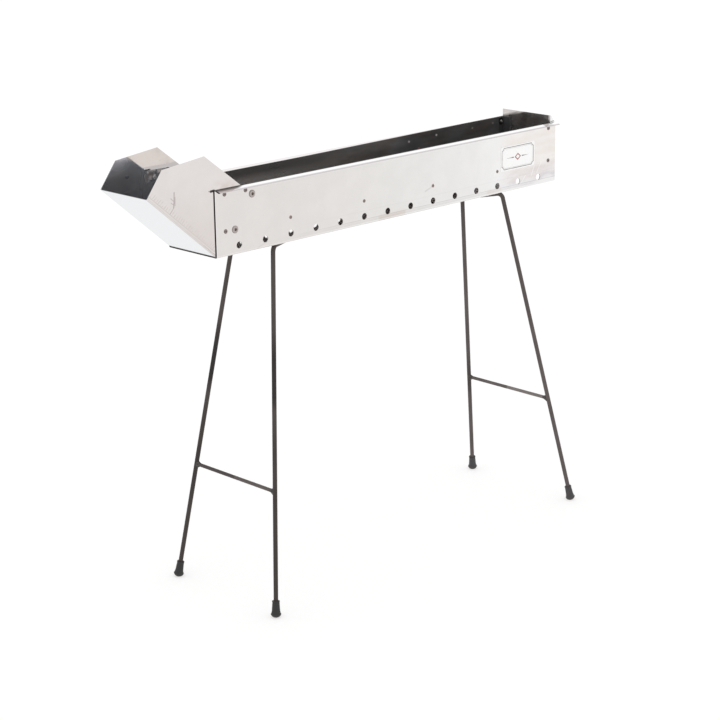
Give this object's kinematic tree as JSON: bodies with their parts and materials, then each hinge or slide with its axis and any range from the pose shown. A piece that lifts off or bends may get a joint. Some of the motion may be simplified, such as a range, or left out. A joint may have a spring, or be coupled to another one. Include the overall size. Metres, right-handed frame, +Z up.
{
  "type": "charcoal skewer grill",
  "caption": "Long narrow charcoal trough of folded stainless sheet with an end scoop, vent holes and two folding rod-leg frames on rubber feet.",
  "frame": {"origin": "on the ground, under the middle of the bounding box", "axes": "+X along the trough away from the scoop, -Y towards the label side, +Z up"},
  "size_m": [0.9996, 0.2826, 0.8089],
  "materials": {
    "stainless": "bright rolled sheet, heat tinted and sooted inside",
    "sooted_steel": "sheet blackened by charcoal",
    "label": "bare white enamelled plate",
    "rivet_steel": "dull blind rivets",
    "clip_steel": "bent strap",
    "rod_steel": "dark brown-grey drawn rod",
    "foot_rubber": "matt moulded rubber"
  },
  "bodies": {
    "trough": {"trough_shell": "stainless", "scoop": "stainless", "end_plate": "stainless", "charcoal_grate": "sooted_steel", "label_plate": "label", "scoop_large_rivets": "rivet_steel", "scoop_small_rivets": "rivet_steel", "grate_rivets": "rivet_steel", "end_plate_rivets": "rivet_steel", "left_front_clip": "clip_steel", "left_rear_clip": "clip_steel", "right_front_clip": "clip_steel", "right_rear_clip": "clip_steel", "left_clip_rivets": "rivet_steel", "right_clip_rivets": "rivet_steel"},
    "left_legs": {"left_front_leg": "rod_steel", "left_rear_leg": "rod_steel", "left_brace": "rod_steel", "left_front_foot": "foot_rubber", "left_rear_foot": "foot_rubber"},
    "right_legs": {"right_front_leg": "rod_steel", "right_rear_leg": "rod_steel", "right_brace": "rod_steel", "right_front_foot": "foot_rubber", "right_rear_foot": "foot_rubber"}
  },
  "joints": [
    {"name": "left_leg_fold", "type": "hinge", "parent": "trough", "child": "left_legs", "pos_m": [-0.17559, 0, 0.63065], "axis": [0, -1, 0], "range_deg": [0, 98]},
    {"name": "right_leg_fold", "type": "hinge", "parent": "trough", "child": "right_legs", "pos_m": [0.30721, 0, 0.63065], "axis": [0, 1, 0], "range_deg": [0, 88]}
  ]
}
